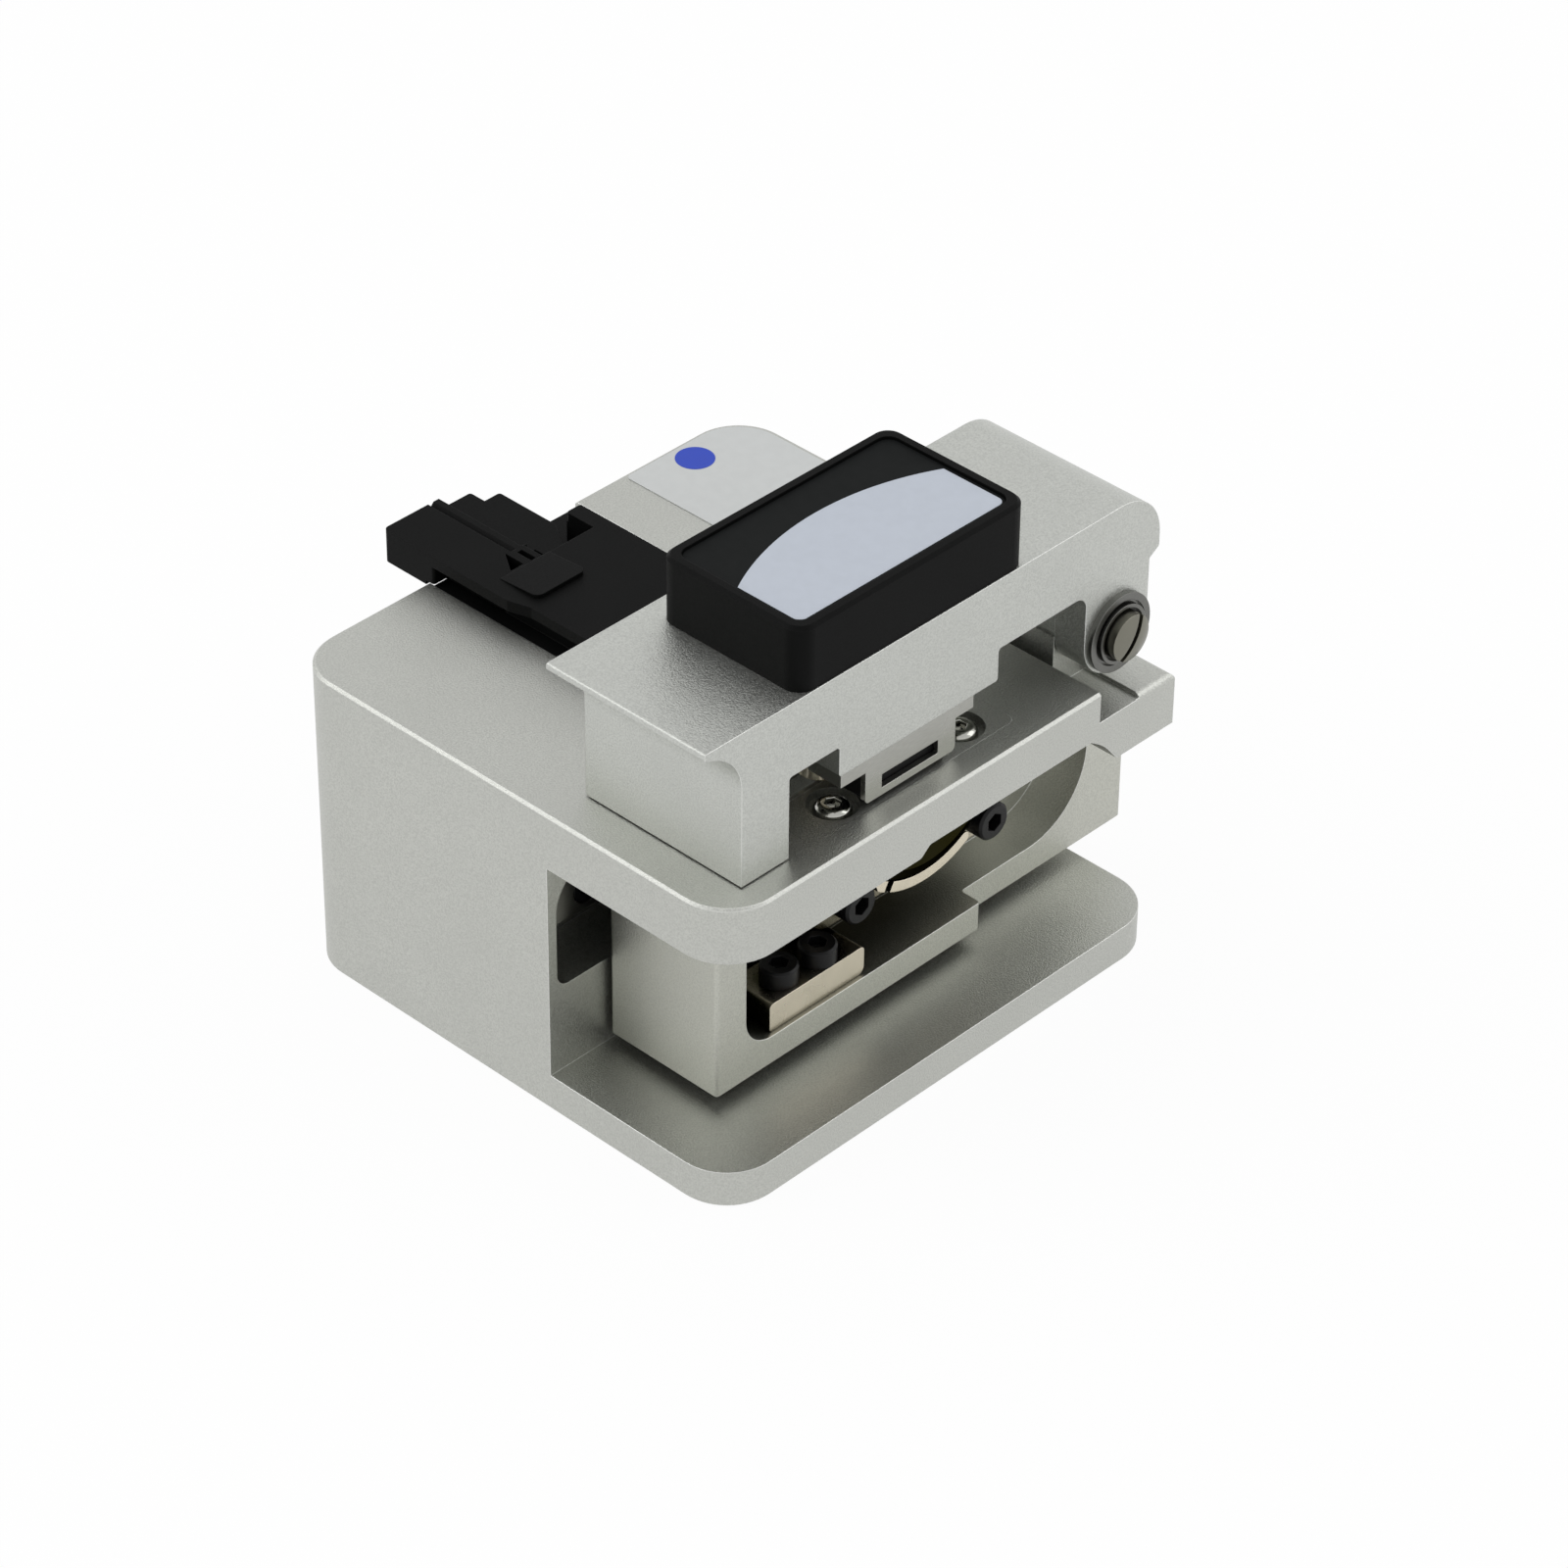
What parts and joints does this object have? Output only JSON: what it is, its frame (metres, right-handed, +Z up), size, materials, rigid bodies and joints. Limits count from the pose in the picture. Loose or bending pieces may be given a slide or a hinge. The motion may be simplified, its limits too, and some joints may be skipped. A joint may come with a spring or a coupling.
{
  "type": "optical fibre cleaver",
  "caption": "Bench-top precision fibre cleaver: satin metal block, sliding round-blade carriage, hinged clamp lid with black cap, slide-in black fibre adapter.",
  "frame": {"origin": "centre of the base block's underside, on the surface it stands on", "axes": "+X along the carriage travel, to the right seen from the blade side; +Y back along the fibre, towards the adapter; +Z up"},
  "size_m": [0.0665, 0.0637, 0.0583],
  "materials": {
    "satin_aluminium": "bead-blasted, clear-anodised satin",
    "machined_steel": "ground and lightly brushed",
    "nickel_plate": "satin nickel plate, slightly warm",
    "black_oxide": "black-oxide steel, satin",
    "bright_chrome": "bright plated",
    "magnet_plate": "nickel-plated magnet, polished",
    "carbide": "ground tungsten carbide",
    "spring_steel": "drawn wire",
    "bronze": "sintered bronze",
    "black_rubber": "moulded rubber",
    "black_moulding": "satin injection moulding",
    "label_film": "printed film, two plain tones"
  },
  "bodies": {
    "base": {"main_body": "satin_aluminium", "linear_rail": "machined_steel", "rail_screws": "black_oxide", "stop_pins": "machined_steel", "front_lower_clamp": "satin_aluminium", "rear_lower_clamp": "satin_aluminium", "lower_pads": "black_rubber", "lower_clamp_screws": "bright_chrome", "hinge_bushes": "bronze", "base_magnet": "magnet_plate"},
    "carriage": {"carriage_body": "satin_aluminium", "rail_block": "machined_steel", "rail_block_screws": "black_oxide", "blade_holder": "nickel_plate", "holder_screws": "black_oxide", "blade_shaft": "nickel_plate", "shaft_nut": "nickel_plate", "stop_bar": "nickel_plate", "stop_bar_screws": "black_oxide"},
    "blade_disc": {"blade": "carbide", "blade_hub": "nickel_plate"},
    "lid": {"lid_body": "satin_aluminium", "lid_magnet": "magnet_plate", "lid_post": "nickel_plate", "lid_cap": "black_moulding", "cap_label": "label_film", "cap_screws": "black_oxide", "hinge_screw": "nickel_plate", "hinge_washers": "machined_steel", "clamp_brackets": "machined_steel"},
    "front_clamp": {"front_clamp_shoe": "machined_steel", "front_clamp_pad": "black_rubber", "front_clamp_springs": "spring_steel"},
    "rear_clamp": {"rear_clamp_shoe": "machined_steel", "rear_clamp_pad": "black_rubber", "rear_clamp_springs": "spring_steel"},
    "anvil": {"anvil": "nickel_plate", "anvil_pad": "black_rubber", "anvil_spring": "spring_steel"},
    "fibre_adapter": {"adapter_body": "black_moulding", "adapter_tongue": "black_moulding"}
  },
  "joints": [
    {"name": "carriage_slide", "type": "slide", "parent": "base", "child": "carriage", "axis": [1, 0, 0], "range_m": [-0.019, 0]},
    {"name": "blade_index", "type": "hinge", "parent": "carriage", "child": "blade_disc", "pos_m": [0.007, -0.0186, 0.0252], "axis": [0, 1, 0], "continuous": true},
    {"name": "lid_hinge", "type": "hinge", "parent": "base", "child": "lid", "pos_m": [0.02442, -0.016, 0.0376], "axis": [0, 1, 0], "range_deg": [0, 90]},
    {"name": "front_clamp_float", "type": "slide", "parent": "lid", "child": "front_clamp", "axis": [0, 0, 1], "range_m": [0, 0.0005], "stiffness_N_per_m": 600, "springref_m": -0.0015, "deforming": ["front_clamp_springs"]},
    {"name": "rear_clamp_float", "type": "slide", "parent": "lid", "child": "rear_clamp", "axis": [0, 0, 1], "range_m": [0, 0.0005], "stiffness_N_per_m": 600, "springref_m": -0.0015, "deforming": ["rear_clamp_springs"]},
    {"name": "anvil_float", "type": "slide", "parent": "lid", "child": "anvil", "axis": [0, 0, 1], "range_m": [0, 0.0008], "stiffness_N_per_m": 400, "springref_m": -0.002, "deforming": ["anvil_spring"]},
    {"name": "adapter_slide", "type": "slide", "parent": "base", "child": "fibre_adapter", "axis": [0, 1, 0], "range_m": [0, 0.03]}
  ]
}
